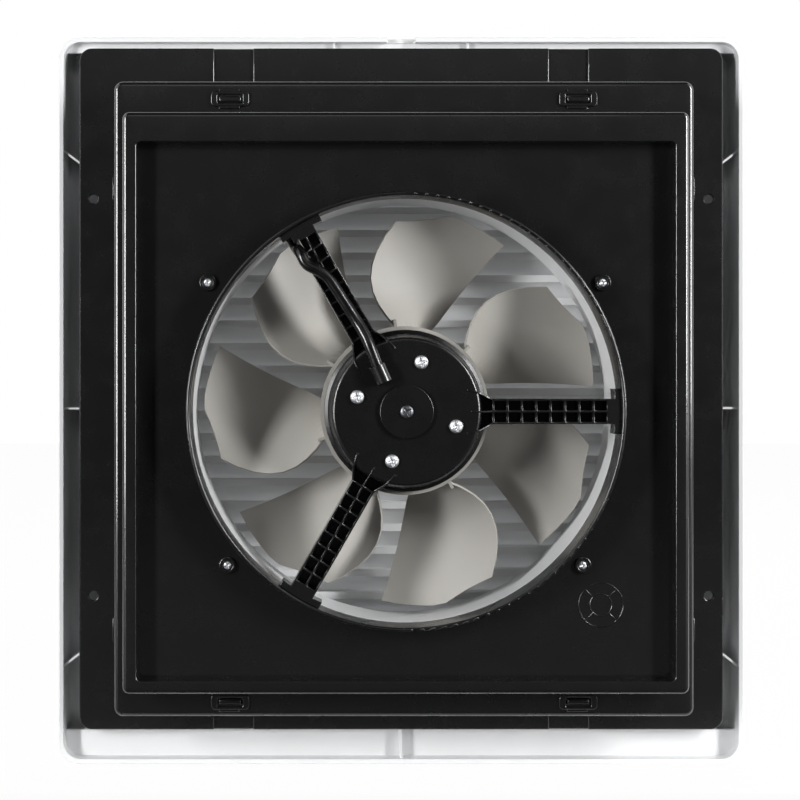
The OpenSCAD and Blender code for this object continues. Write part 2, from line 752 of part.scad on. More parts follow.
module motor_rear_shell() color("#9a9c9e") upright() on_axis() difference() {
    union() {
        rotate_extrude() polygon([[0, shell_rear - 1.8], [felt_r + 0.1, shell_rear - 1.8],
            [felt_r + 0.1, rear_bush_z], [bush_boss_r, rear_bush_z],
            [bush_boss_r, shell_rear - shell_plate], [core_r + 0.1, shell_rear - shell_plate],
            [core_r + 0.1, stack_z[1] - core_fit], [shell_r, stack_z[1] - core_fit],
            [shell_r, shell_rear - 3], [shell_r - 3, shell_rear], [0, shell_rear]]);
        around(motor_angles, motor_screw_r) disc(4.5, shell_rear - eps, hood_in);
        around(bolt_angles, bolt_pos_r) disc(3.6, shell_rear - 7.5, shell_rear - eps);
    }
    around(motor_angles, motor_screw_r) disc(2.05, shell_rear - shell_plate - 2, hood_in + eps);
    around(bolt_angles, bolt_pos_r) disc(bolt_r + press, shell_rear - 9, shell_rear - 1);
    disc(2.1, shell_rear - shell_plate, shell_rear + eps);
}

module motor_front_shell() color("#9a9c9e") upright() on_axis() difference() {
    union() {
        rotate_extrude() polygon([[shaft_r + 1, shell_front], [shell_r - 3, shell_front],
            [shell_r, shell_front + 3], [shell_r, stack_z[0] + core_fit],
            [core_r + 0.1, stack_z[0] + core_fit], [core_r + 0.1, shell_front + shell_plate],
            [bush_boss_r, shell_front + shell_plate], [bush_boss_r, front_bush_z + bush_len],
            [felt_r + 0.1, front_bush_z + bush_len], [felt_r + 0.1, shell_front + 1.8],
            [shaft_r + 1, shell_front + 1.8]]);
        around(bolt_angles, bolt_pos_r) disc(3.6, shell_front + eps, shell_front + 6);
    }
    around(bolt_angles, bolt_pos_r) disc(bolt_r + 0.1, shell_front - eps, shell_front + 8);
}

module motor_bolts() color(steel) upright() on_axis()
    around(bolt_angles, bolt_pos_r) translate([0, 0, shell_front]) mirror([0, 0, 1])
        pan_screw(2.8, 2, bolt_r, shell_rear - shell_front - 1.5);

module stator_core() color("#6c7074") upright() on_axis() slab(stack_z[0], stack_z[1])
    difference() {
        circle(core_r);
        circle(rotor_r + air_gap);
        for (a = slot_angles) rotate(a) translate([slot_pos_r, 0]) {
            circle(slot_r);
            translate([-slot_pos_r / 2, 0]) square([slot_pos_r, 2], center = true);
        }
        for (a = bolt_angles) rotate(a) translate([bolt_pos_r, 0]) circle(bolt_r + 0.1);
    }

// Copper: one bar through each slot, and a rounded coil head at each end of the stack
module stator_windings() color("#b8703a") upright() on_axis() {
    around(slot_angles, slot_pos_r)
        disc(slot_r - liner, stack_z[0] - 1, stack_z[1] + 1);
    rotate_extrude() for (z = [stack_z[0] - liner - coil_t / 2, stack_z[1] + liner + coil_t / 2])
        for (s = [-1, 0, 1]) translate([slot_pos_r + s * 1.2, z])
            if (s == 0) square([2.4, coil_t], center = true);
            else circle(coil_t / 2);
}

module rear_bush() color("#9c7a4b") upright() on_axis()
    tube(shaft_r + running, bush_r, rear_bush_z, rear_bush_z + bush_len);

module front_bush() color("#9c7a4b") upright() on_axis()
    tube(shaft_r + running, bush_r, front_bush_z, front_bush_z + bush_len);

module oil_felts() color("#c9c2ae") upright() on_axis()
    for (z = [front_bush_z, rear_bush_z]) tube(bush_r + 0.1, felt_r - 0.1, z + 1, z + bush_len - 1);

module bush_retainers() color(steel) upright() on_axis() {
    tube(shaft_r + 0.8, bush_boss_r - 0.6, rear_bush_z - retainer_t, rear_bush_z);
    tube(shaft_r + 0.8, bush_boss_r - 0.6, front_bush_z + bush_len,
        front_bush_z + bush_len + retainer_t);
}

// The cable, its grommets and the box of terminals

function unit(v) = v / norm(v);
function spline(p, i, u) = let (n = len(p) - 1, a = p[max(i - 1, 0)], b = p[i], c = p[i + 1],
    d = p[min(i + 2, n)]) 0.5 * ((2 * b) + (c - a) * u + (2 * a - 5 * b + 4 * c - d) * u * u
    + (3 * b - a - 3 * c + d) * u * u * u);
cable_points = [for (i = [0 : len(cable_route) - 2], k = [0 : cable_steps - 1])
    spline(cable_route, i, k / cable_steps), cable_route[len(cable_route) - 1]];
function skin_faces(rings, n) = [for (i = [0 : rings - 2], k = [0 : n - 1])
    let (a = i * n + k, b = i * n + (k + 1) % n)
    each [[a, b, b + n], [a, b + n, a + n]]];

module motor_cable() color("#0e0e0f") upright() on_axis() {
    p = cable_points;
    m = len(p) - 1;
    n = cable_sides;
    rings = [for (i = [0 : m]) let (t = unit(p[min(i + 1, m)] - p[max(i - 1, 0)]),
        b = unit(cross(t, [0.866, 0.5, 0])), a = cross(b, t))
        each [for (k = [0 : n - 1]) p[i] + cable_r * (cos(360 * k / n) * a - sin(360 * k / n) * b)]];
    polyhedron(rings, concat(skin_faces(m + 1, n),
        [for (k = [1 : n - 2]) [0, k + 1, k]],
        [for (k = [1 : n - 2]) [m * n, m * n + k, m * n + k + 1]]));
}

module grommet(wall_t) rotate_extrude() {
    translate([cable_r + snug, -wall_t / 2 - 1]) square([grommet_r - cable_r - 1.5 * snug, wall_t + 2]);
    for (z = [-wall_t / 2 - 1.25, wall_t / 2 + 0.15])
        translate([cable_r + snug, z]) square([grommet_r - cable_r - snug + grommet_lip, 1.1]);
}

module cable_grommets() color("#232323") upright() on_axis() {
    translate(entry_at) rotate([0, 0, entry_turn]) rotate([0, 90, 0]) grommet(duct_wall);
    translate([box_at[0] + (box_size[0] - box_wall) / 2, box_entry[0], box_entry[1]])
        rotate([0, 90, 0]) grommet(box_wall);
}

module box_slab(z0, z1, inset) {
    slab(z0, z1) translate(box_at)
        rounded(box_size[0] - 2 * inset, box_size[1] - 2 * inset, 3 - inset * 0.75);
}

module terminal_box() color("#262627") upright() on_axis() difference() {
    union() {
        difference() {
            box_slab(box_front, panel_front, 0);
            box_slab(box_front - eps, panel_front - box_wall, box_wall);
        }
        for (p = lid_posts) translate(p) disc(3.2, box_front, panel_front - 1);
        for (x = box_ears) slab(ear_z - 3, ear_z) {
            translate([x, ear_y]) circle(4.5);
            translate([x - 4.5, ear_y]) square([9, 6]);
        }
    }
    for (p = lid_posts) translate(p) disc(1.3, box_front - eps, box_front + 8);
    for (x = box_ears) translate([x, ear_y, 0]) disc(1.6, ear_z - 4, ear_z + eps);
    translate([box_at[0] + box_size[0] / 2, box_entry[0], box_entry[1]]) rotate([0, 90, 0])
        cylinder(r = grommet_r, h = 3 * box_wall, center = true);
    translate([supply_x, box_at[1] + box_size[1] / 2, box_entry[1]]) rotate([90, 0, 0])
        cylinder(r = gland_r, h = 3 * box_wall, center = true);
}

module terminal_lid() color("#262627") upright() on_axis() difference() {
    union() {
        box_slab(box_front - 2, box_front, 0);
        difference() {
            box_slab(box_front - eps, box_front + 2.5, box_wall + snug);
            box_slab(box_front, box_front + 3, 2 * box_wall);
            for (p = lid_posts) translate(p) disc(3.6, box_front, box_front + 3);
        }
    }
    for (p = lid_posts) translate(p) disc(1.5, box_front - 3, box_front + eps);
}

module terminal_block() color("#dcd8c8") upright() on_axis() difference() {
    translate([block_at[0], block_at[1], panel_front - box_wall - 11]) cube([27, 12, 11]);
    for (i = [0 : 2]) translate([block_at[0] + 4.5 + 9 * i, block_at[1] - 1, block_z])
        rotate([-90, 0, 0]) cylinder(r = 2.5, h = 14);
    for (i = [0 : 2]) translate([block_at[0] + 4.5 + 9 * i, block_at[1] + 6, block_z - 8])
        cylinder(r = 1.8, h = 8);
}

module terminal_contacts() color("#c9a94d") upright() on_axis()
    for (i = [0 : 2]) translate([block_at[0] + 4.5 + 9 * i, block_at[1] + 0.5, block_z])
        rotate([-90, 0, 0]) tube(1.4, 2.5 - press, 0, 11);

module capacitor() color("#d9dadb") upright() on_axis()
    translate([capacitor_at[0], capacitor_at[1], panel_front - box_wall - capacitor_size[2]])
        cube(capacitor_size);

module supply_gland() color("#2b2b2c") upright() on_axis()
    translate([supply_x, box_at[1] + box_size[1] / 2, box_entry[1]]) rotate([-90, 0, 0])
        difference() {
            union() {
                disc(gland_r - 0.1, -box_wall - 1, 1);
                cylinder(r = gland_nut_r, h = 4, $fn = 6);
                disc(gland_r, 3.5, gland_len);
                translate([0, 0, -box_wall - 3]) cylinder(r = gland_nut_r - 0.6, h = 3, $fn = 6);
            }
            disc(gland_bore, -2 * box_wall - 4, gland_len + 2);
        }

module box_screws() color(steel) upright() on_axis() for (x = box_ears)
    translate([x, ear_y, ear_z - 3]) mirror([0, 0, 1])
        pan_screw(2.8, 1.8, 1.4, ear_screw_len);

module lid_screws() color(steel) upright() on_axis() for (p = lid_posts)
    translate([p[0], p[1], box_front - 2]) mirror([0, 0, 1])
        pan_screw(2.6, 1.6, 1.2, lid_screw_len);

// The turning parts

// Angles of the two edges of a blade, and its reach, along the span s and the chord t
function leading(s) = -9 - 13 * pow(s, 0.6);
function trailing(s) = 15 - 3 * s + 11 * sin(180 * pow(s, 0.8));
function reach(t) = t < tip_peak ? tip_r - tip_drop * (1 - t / tip_peak)
    : tip_r - tip_scoop * (1 - pow(1 - (t - tip_peak) / (1 - tip_peak), 2.2));
function blade_point(s, t) = let (
    r = root_r + s * (reach(t) - root_r),
    a = leading(s) + (trailing(s) - leading(s)) * t,
    z0 = blade_root[0] + (blade_tip[0] - blade_root[0]) * s,
    z1 = blade_root[1] + (blade_tip[1] - blade_root[1]) * s)
    [r * cos(a), r * sin(a), z0 + (z1 - z0) * (t - camber * sin(180 * t))];
function blade_normal(s, t) = let (d = 0.02)
    unit(cross(blade_point(min(s + d, 1), t) - blade_point(max(s - d, 0), t),
        blade_point(s, min(t + d, 1)) - blade_point(s, max(t - d, 0))));
function blade_skin(s, t, side) = blade_point(s, t)
    + side * blade_t * (0.32 + 0.18 * sin(180 * t)) * blade_normal(s, t);

module blade() {
    m = blade_rows;
    c = blade_cols;
    n = 2 * (c + 1);
    points = [for (i = [0 : m]) each concat(
        [for (j = [0 : c]) blade_skin(i / m, j / c, 1)],
        [for (j = [c : -1 : 0]) blade_skin(i / m, j / c, -1)])];
    caps = [for (j = [0 : c - 1]) let (a = j, b = n - 1 - j) each [[a, b, b - 1], [a, b - 1, a + 1]]];
    polyhedron(points, concat(skin_faces(m + 1, n), caps,
        [for (f = caps) [f[0] + m * n, f[2] + m * n, f[1] + m * n]]));
}

module impeller() color(taupe) upright() on_axis() {
    rotate_extrude() difference() {
        union() {
            difference() {
                cup(hub_r, hub_front_z, 5);
                cup(hub_r - hub_wall, hub_front_z + hub_wall, 5 - hub_wall);
            }
            translate([0, hub_front_z]) square([insert_r + 3.5, insert_len]);
        }
        translate([-1, hub_front_z - 1]) square([insert_r + 1, insert_len + 2]);
    }
    for (i = [0 : blade_count - 1]) rotate([0, 0, blade_turn + 360 * i / blade_count]) {
        blade();
        rotate([0, 0, trailing(0) + 1]) translate([hub_r - 1, -0.9, hub_z - 9]) cube([5.5, 1.8, 7]);
    }
}

module cup(r, z, e) {
    translate([0, z]) square([r - e, hub_z - z + (z > hub_front_z ? 1 : 0)]);
    translate([0, z + e]) square([r, hub_z - z - e + (z > hub_front_z ? 1 : 0)]);
    translate([r - e, z + e]) circle(e);
}

module impeller_insert() color("#c9a94d") upright() on_axis()
    tube(shaft_r + press, insert_r - press, hub_front_z, hub_front_z + insert_len);

module impeller_nut() color(taupe) upright() on_axis() difference() {
    union() {
        rotate_extrude() polygon([[0, nut_front], [nut_r - 3, nut_front],
            [nut_r, nut_front + 2.5], [nut_r, hub_front_z - nut_brim],
            [nut_r + nut_brim, hub_front_z - nut_brim], [nut_r + nut_brim, hub_front_z],
            [0, hub_front_z]]);
    }
    disc(shaft_r + press, shaft_front - 0.3, hub_front_z + eps);
    around([0 : 60 : 359], nut_r + 1.2) disc(2, nut_front - 1, hub_front_z - nut_brim);
}

module motor_shaft() color(steel) upright() on_axis() disc(shaft_r, shaft_front, shaft_rear);

module rotor_core() color("#6c7074") upright() on_axis()
    tube(shaft_r + press, rotor_r, stack_z[0], stack_z[1]);

module rotor_cage() color("#b9bcbe") upright() on_axis() {
    tube(rotor_r - cage_step - cage_w, rotor_r - cage_step, stack_z[0] - cage_t, stack_z[0]);
    tube(rotor_r - cage_step - cage_w, rotor_r - cage_step, stack_z[1], stack_z[1] + cage_t);
}

module thrust_washers() color("#e6e2d4") upright() on_axis() {
    tube(shaft_r + press, spacer_r, stack_z[0] - end_space + retainer_t + 0.3, stack_z[0]);
    tube(shaft_r + press, spacer_r, stack_z[1], stack_z[1] + end_space - retainer_t - 0.3);
}

mounting_frame();
fan_housing();
fan_ring();
intake_duct();
front_cover();
louvre_grille();
motor_spider();
panel_screws();
motor_screws();
centre_screw();
motor_rear_shell();
motor_front_shell();
motor_bolts();
stator_core();
stator_windings();
rear_bush();
front_bush();
bush_retainers();
oil_felts();
motor_cable();
cable_grommets();
terminal_box();
terminal_lid();
terminal_block();
terminal_contacts();
capacitor();
supply_gland();
box_screws();
lid_screws();
impeller();
impeller_insert();
impeller_nut();
motor_shaft();
rotor_core();
rotor_cage();
thrust_washers();
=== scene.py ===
import json
import math
import bmesh
import bpy
from mathutils import Matrix, Vector


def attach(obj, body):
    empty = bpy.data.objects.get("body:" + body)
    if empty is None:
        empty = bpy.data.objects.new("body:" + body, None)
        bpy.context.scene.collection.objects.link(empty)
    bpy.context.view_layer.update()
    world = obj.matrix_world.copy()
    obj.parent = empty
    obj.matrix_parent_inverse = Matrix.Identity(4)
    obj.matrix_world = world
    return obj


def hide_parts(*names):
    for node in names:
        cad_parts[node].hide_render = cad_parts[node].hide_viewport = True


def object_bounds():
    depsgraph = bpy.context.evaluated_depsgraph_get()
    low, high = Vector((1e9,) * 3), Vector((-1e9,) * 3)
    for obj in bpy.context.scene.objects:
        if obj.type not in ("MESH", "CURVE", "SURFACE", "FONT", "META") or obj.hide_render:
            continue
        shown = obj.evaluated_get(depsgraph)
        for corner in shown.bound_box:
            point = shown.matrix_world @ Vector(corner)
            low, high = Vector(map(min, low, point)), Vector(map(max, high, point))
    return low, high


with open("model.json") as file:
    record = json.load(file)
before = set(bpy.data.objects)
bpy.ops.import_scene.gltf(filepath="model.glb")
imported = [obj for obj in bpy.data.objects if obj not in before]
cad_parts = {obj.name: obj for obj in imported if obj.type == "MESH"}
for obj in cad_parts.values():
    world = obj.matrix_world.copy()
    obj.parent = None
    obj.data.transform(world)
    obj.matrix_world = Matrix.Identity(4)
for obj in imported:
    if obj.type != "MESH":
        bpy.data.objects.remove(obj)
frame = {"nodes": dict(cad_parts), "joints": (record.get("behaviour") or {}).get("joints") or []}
cad_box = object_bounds()


# The camera stands one metre behind the fan, a little to the left of its axis and above it, and
# looks level at the wall. The lens is shifted sideways and down to frame the cover.
def stand(name, data):
    """Puts a new object in the scene."""
    made = bpy.data.objects.new(name, data)
    bpy.context.scene.collection.objects.link(made)
    return made


view_width = 0.512
camera_data = bpy.data.cameras.new("camera")
camera_data.sensor_width = 36
camera_data.lens = camera_data.sensor_width / view_width
camera_data.shift_x = 0.0939
camera_data.shift_y = -0.0457
camera = stand("camera", camera_data)
camera.location = (-0.0488, -1.0, 0.0218)
camera.rotation_euler = (math.radians(90), 0, 0)
bpy.context.scene.camera = camera


# The photographer's table: a pale board under the cover and a white surround. The camera and
# whatever mirrors the surround see white, and its own light on the fan is a dim, even grey.
def paint(code):
    """Turns an sRGB hex colour to the linear one that a shader takes."""
    steps = [int(code[i:i + 2], 16) / 255 for i in (1, 3, 5)]
    return [c / 12.92 if c <= 0.04045 else ((c + 0.055) / 1.055) ** 2.4 for c in steps] + [1]


def add(tree, kind, links={}, values={}, **settings):
    """Adds a node with its settings, its values and its links from other nodes."""
    made = tree.nodes.new(kind)
    for name, value in settings.items():
        setattr(made, name, value)
    for socket, value in values.items():
        made.inputs[socket].default_value = value
    for socket, source in links.items():
        tree.links.new(source, made.inputs[socket])
    return made


def blank(name):
    """Makes a material, and returns it with its tree and its shader."""
    made = bpy.data.materials.new(name)
    made.use_nodes = True
    return made, made.node_tree, made.node_tree.nodes["Principled BSDF"]


bpy.context.scene.view_settings.view_transform = "Standard"
room = bpy.data.worlds.new("room")
room.use_nodes = True
tree = room.node_tree
tree.nodes.clear()
ray = add(tree, "ShaderNodeLightPath")
seen = add(tree, "ShaderNodeMath",
           {0: ray.outputs["Is Camera Ray"], 1: ray.outputs["Is Glossy Ray"]}, operation="MAXIMUM")
seen = add(tree, "ShaderNodeMath",
           {0: seen.outputs[0], 1: ray.outputs["Is Transmission Ray"]}, operation="MAXIMUM")
grey = add(tree, "ShaderNodeBackground", values={"Color": paint("#f4f6f8"), "Strength": 0.05})
white = add(tree, "ShaderNodeBackground", values={"Color": paint("#ffffff"), "Strength": 1.0})
mixed = add(tree, "ShaderNodeMixShader",
            {0: seen.outputs[0], 1: grey.outputs[0], 2: white.outputs[0]})
add(tree, "ShaderNodeOutputWorld", {"Surface": mixed.outputs[0]})
bpy.context.scene.world = room

board_half = 4
board_drop = 0.0002
board = bpy.data.meshes.new("table_board")
bm = bmesh.new()
bmesh.ops.create_grid(bm, x_segments=2, y_segments=2, size=board_half,
                      matrix=Matrix.Translation((0, 0, cad_box[0].z - board_drop)))
bm.to_mesh(board)
bm.free()
table = stand("table_board", board)
# Matt board paint: shown white, but for the small share that keeps the fan's shadow
shown_white = 0.975
board_paint, tree, shader = blank("pale board")
shader.inputs["Base Color"].default_value = paint("#efefee")
shader.inputs["Roughness"].default_value = 0.7
ray = add(tree, "ShaderNodeLightPath")
glow = add(tree, "ShaderNodeEmission", values={"Color": paint("#ffffff"), "Strength": 1.0})
share = add(tree, "ShaderNodeMath", {0: ray.outputs["Is Camera Ray"]}, {1: shown_white},
            operation="MULTIPLY")
mixed = add(tree, "ShaderNodeMixShader",
            {0: share.outputs[0], 1: shader.outputs[0], 2: glow.outputs[0]})
tree.links.new(mixed.outputs[0], tree.nodes["Material Output"].inputs["Surface"])
board.materials.append(board_paint)


# Black cloth lies on the table between the fan and the camera, hangs behind the camera and roofs
# the set, so that the flat black faces and the level edges have nothing to mirror. Its folds are
# given as seen from the side: how far towards the room, and how far above the foot of the fan.
cloth_width = 3
cloth_folds = ((-0.07, 0.001), (-1.9, 0.001), (-1.9, 2.6), (0.9, 2.6))
cloth_mesh = bpy.data.meshes.new("black_cloth")
bm = bmesh.new()
side = [bm.verts.new((-cloth_width / 2, y, cad_box[0].z + up)) for y, up in cloth_folds]
edges = [bm.edges.new(pair) for pair in zip(side, side[1:])]
sheet = bmesh.ops.extrude_edge_only(bm, edges=edges)["geom"]
bmesh.ops.translate(bm, vec=(cloth_width, 0, 0),
                    verts=[v for v in sheet if isinstance(v, bmesh.types.BMVert)])
bm.to_mesh(cloth_mesh)
bm.free()
cloth = stand("black_cloth", cloth_mesh)
cloth.visible_camera = False
# Woven black cotton: it swallows nearly all light
cloth_black, tree, shader = blank("black cloth")
shader.inputs["Base Color"].default_value = paint("#0a0a0a")
shader.inputs["Roughness"].default_value = 0.9
cloth_mesh.materials.append(cloth_black)


# A tall softbox stands on each side, a weak one hangs above, and one lights the room side. The
# last one isn't mirrored, because the level edges of the collar would show it as lines.
softboxes = (("left_softbox", (-1.25, -1.0, 0.15), (0.2, 0.9), 24.0),
             ("right_softbox", (1.25, -0.9, 0.4), (0.22, 0.9), 28.0),
             ("high_softbox", (0, -1.5, 0.8), (0.9, 0.4), 0.9),
             ("room_softbox", (0.6, 1.2, 1.6), (0.9, 0.9), 26.0))
for name, place, size, watts in softboxes:
    lamp_data = bpy.data.lights.new(name, "AREA")
    lamp_data.shape = "RECTANGLE"
    lamp_data.size, lamp_data.size_y = size
    lamp_data.energy = watts
    lamp = stand(name, lamp_data)
    lamp.location = place
    lamp.visible_glossy = name != "room_softbox"
    lamp.rotation_euler = (-Vector(place)).to_track_quat("-Z", "Y").to_euler()


# The black mouldings: wall frame, collar, ring, motor cover with its arms, and the box of
# terminals. They are injection moulded in ABS and screwed or snapped together. The grain that
# the spark-eroded tools leave is finer than 0.3 mm, and is drawn coarser so that it shows.
def moulded(name, colour, flow, roughness, grain_mm, grain_depth_mm, skin_gloss=0.0):
    """A moulded plastic: flow marks in its colour and gloss, and the grain of the tool."""
    flow_mm, handling_mm = 55, 18
    made, tree, shader = blank(name)
    place = add(tree, "ShaderNodeTexCoord").outputs["Object"]
    flow_marks = add(tree, "ShaderNodeTexNoise", {"Vector": place},
                     {"Scale": 1000 / flow_mm, "Detail": 4, "Roughness": 0.55, "Distortion": 0.6})
    # A Mix node's sockets 6 and 7 are its two colours, and a Map Range's 1 to 4 its two ranges
    tint = add(tree, "ShaderNodeMix", {0: flow_marks.outputs[0]},
               {6: paint(colour), 7: paint(flow)}, data_type="RGBA")
    tree.links.new(tint.outputs[2], shader.inputs["Base Color"])
    handling = add(tree, "ShaderNodeTexNoise", {"Vector": place},
                   {"Scale": 1000 / handling_mm, "Detail": 5, "Roughness": 0.6})
    gloss = add(tree, "ShaderNodeMapRange", {0: handling.outputs[0]},
                {1: 0.3, 2: 0.7, 3: roughness - 0.02, 4: roughness + 0.03})
    tree.links.new(gloss.outputs[0], shader.inputs["Roughness"])
    grain = add(tree, "ShaderNodeTexNoise", {"Vector": place},
                {"Scale": 1000 / grain_mm, "Detail": 2, "Roughness": 0.5})
    skin = add(tree, "ShaderNodeBump", {"Height": grain.outputs[0]},
               {"Strength": 0.6, "Distance": grain_depth_mm / 1000})
    tree.links.new(skin.outputs[0], shader.inputs["Normal"])
    shader.inputs["IOR"].default_value = 1.53
    shader.inputs["Coat Weight"].default_value = skin_gloss
    shader.inputs["Coat Roughness"].default_value = 0.1
    return made


def finish_piece(bm, name, material, body, node, sharp=40, strips=()):
    """Shades the mesh smooth, but for the rims of its rounded strips and its edges over the sharp
    angle, and puts it in a node's place."""
    for face in bm.faces:
        face.smooth = True
    for edge in bm.edges:
        rounded = sum(face in strips for face in edge.link_faces)
        soft = edge.calc_face_angle(math.pi) < math.radians(sharp)
        edge.smooth = rounded == 2 or (rounded == 0 and soft)
    mesh = bpy.data.meshes.new(name)
    bm.to_mesh(mesh)
    bm.free()
    mesh.materials.append(material)
    piece = stand(name, mesh)
    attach(piece, body)
    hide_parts(node)


def welded(node):
    """A copy of a node's mesh, with the loose corners of its triangles joined."""
    bm = bmesh.new()
    bm.from_mesh(frame["nodes"][node].data)
    bmesh.ops.remove_doubles(bm, verts=bm.verts, dist=1e-5)
    return bm


def moulding(node, name, material, edge_mm=0.35, crease=35, flat=0.5):
    """A copy of a moulded piece whose outer edges are rounded, as its tool leaves them. Faces that
    meet within the flat angle become one, and edges over the crease angle are rounded."""
    bm = welded(node)
    bmesh.ops.dissolve_limit(bm, angle_limit=math.radians(flat), verts=bm.verts, edges=bm.edges)
    bmesh.ops.triangulate(bm, faces=bm.faces)
    outer = [e for e in bm.edges if e.is_convex and e.calc_face_angle(0) > math.radians(crease)]
    strips = set(bmesh.ops.bevel(bm, geom=outer, offset=edge_mm / 1000, offset_type="OFFSET",
                                 affect="EDGES", segments=2, profile=0.5, material=-1,
                                 clamp_overlap=False)["faces"])
    finish_piece(bm, name, material, "frame", node, crease, strips)


def coat(node, material):
    """Gives a CAD node, whose shape is right as it is, its material."""
    mesh = frame["nodes"][node].data
    mesh.materials.clear()
    mesh.materials.append(material)


# Satin ABS: near black, a soft sheen, and a thin line of light along each edge
black_abs = moulded("satin black ABS", "#101011", "#131314", roughness=0.26,
                    grain_mm=1.6, grain_depth_mm=0.002, skin_gloss=1.0)
moulding("mounting_frame", "wall_frame_moulding", black_abs, edge_mm=0.6)
moulding("fan_housing", "collar_moulding", black_abs)
# Gloss ABS: the ring and the motor cover come from polished tools, with a thinner gloss on top
gloss_black_abs = moulded("gloss black ABS", "#0f0f10", "#121213", roughness=0.27,
                          grain_mm=1.6, grain_depth_mm=0.002, skin_gloss=0.35)
moulding("fan_ring", "beaded_ring_moulding", gloss_black_abs, edge_mm=0.25)
moulding("motor_spider", "lattice_spider_moulding", gloss_black_abs, edge_mm=0.25)
# Plain black ABS: the box behind the panel has a duller and coarser grain
box_abs = moulded("dull black ABS", "#18181a", "#202022", roughness=0.5,
                  grain_mm=0.7, grain_depth_mm=0.04)
for node in ("terminal_box", "terminal_lid", "supply_gland"):
    coat(node, box_abs)


# The screws: zinc-plated steel with a pan head and a cross recess, cold headed and tumbled.
# Four small ones hold the ring to the panel, four larger ones and a dull one the motor. Their
# places are counted from the fan axis, and the zinc's crystals are drawn coarse enough to show.
axis_up = frame["joints"][0]["pos_m"][2]


def plated(name, colour, shade, roughness):
    """Zinc plating: bright metal with small crystals that differ in gloss and height."""
    crystal_mm, smear_mm, crystal_depth_mm = 0.7, 2.5, 0.08
    made, tree, shader = blank(name)
    shader.inputs["Metallic"].default_value = 1
    place = add(tree, "ShaderNodeTexCoord").outputs["Object"]
    crystals = add(tree, "ShaderNodeTexVoronoi", {"Vector": place}, {"Scale": 1000 / crystal_mm})
    smears = add(tree, "ShaderNodeTexNoise", {"Vector": place},
                 {"Scale": 1000 / smear_mm, "Detail": 6, "Roughness": 0.65})
    tint = add(tree, "ShaderNodeMix", {0: smears.outputs[0]},
               {6: paint(colour), 7: paint(shade)}, data_type="RGBA")
    tree.links.new(tint.outputs[2], shader.inputs["Base Color"])
    gloss = add(tree, "ShaderNodeMapRange", {0: smears.outputs[0]},
                {1: 0.25, 2: 0.75, 3: roughness - 0.08, 4: roughness + 0.14})
    tree.links.new(gloss.outputs[0], shader.inputs["Roughness"])
    skin = add(tree, "ShaderNodeBump", {"Height": crystals.outputs["Distance"]},
               {"Strength": 0.5, "Distance": crystal_depth_mm / 1000})
    tree.links.new(skin.outputs[0], shader.inputs["Normal"])
    return made


# Bright zinc plating: silvery, with a soft highlight that the crystals break up
zinc = plated("bright zinc-plated steel", "#f4f5f7", "#d8dade", roughness=0.46)
# Dull zinc plating: older, darker and greyer
dull_zinc = plated("dull zinc-plated steel", "#8b8d90", "#5c5e62", roughness=0.38)


def screw_mesh(bm, places, head_r, head_h, shank_r, shank_len, turn):
    """Turns each screw from its profile and cuts the cross recess by pushing four wings down."""
    pan = [(0, 1), (0.3, 0.985), (0.55, 0.93), (0.78, 0.78), (0.93, 0.52), (1, 0.24),
           (0.99, 0.06), (0.95, 0)]
    tip_r = 0.4 * shank_r
    wing, half = 0.62 * head_r, 0.12 * head_r
    top, depth = 0.7 * head_h, 0.5 * head_h
    ramp, draft = 0.55, 0.94
    for x, up, rear in places:
        part = bmesh.new()
        points = [(a * head_r, b * head_h) for a, b in pan]
        points += [(shank_r, 0), (shank_r, shank_r - shank_len), (tip_r, -shank_len),
                   (0, -shank_len)]
        line = [part.verts.new((a, 0, b)) for a, b in points]
        edges = [part.edges.new(pair) for pair in zip(line, line[1:])]
        bmesh.ops.spin(part, geom=line + edges, cent=(0, 0, 0), axis=(0, 0, 1), dvec=(0, 0, 0),
                       angle=2 * math.pi, steps=48, use_merge=True)
        bmesh.ops.remove_doubles(part, verts=part.verts, dist=1e-7)
        bmesh.ops.recalc_face_normals(part, faces=part.faces)
        for normal in (Vector((0, 1, 0)), Vector((-1, 0, 0))):
            for side in (-half, half):
                bmesh.ops.bisect_plane(part, geom=part.verts[:] + part.edges[:] + part.faces[:],
                                       plane_co=normal * side, plane_no=normal, dist=1e-7)
        sunk = [v for v in part.verts if v.co.z > top and v.co.xy.length < wing
                and min(abs(v.co.x), abs(v.co.y)) < half * 1.01]
        for v in sunk:
            v.co.z -= depth * (1 - ramp * v.co.xy.length / wing)
            v.co.x *= draft
            v.co.y *= draft
        seat = Matrix.Translation((x, -rear, up + axis_up))
        seat = seat @ Matrix.Rotation(math.pi / 2, 4, "X")
        seat = seat @ Matrix.Rotation(math.radians(turn), 4, "Z")
        bmesh.ops.transform(part, matrix=seat, verts=part.verts)
        made = bpy.data.meshes.new("screw")
        part.to_mesh(made)
        part.free()
        bm.from_mesh(made)
        bpy.data.meshes.remove(made)


def ring_of(angles, radius, rear):
    """Places on a circle round the fan axis, at a distance to the rear of the wall plane."""
    turns = [math.radians(angle) for angle in angles]
    return [(radius * math.cos(turn), radius * math.sin(turn), rear) for turn in turns]


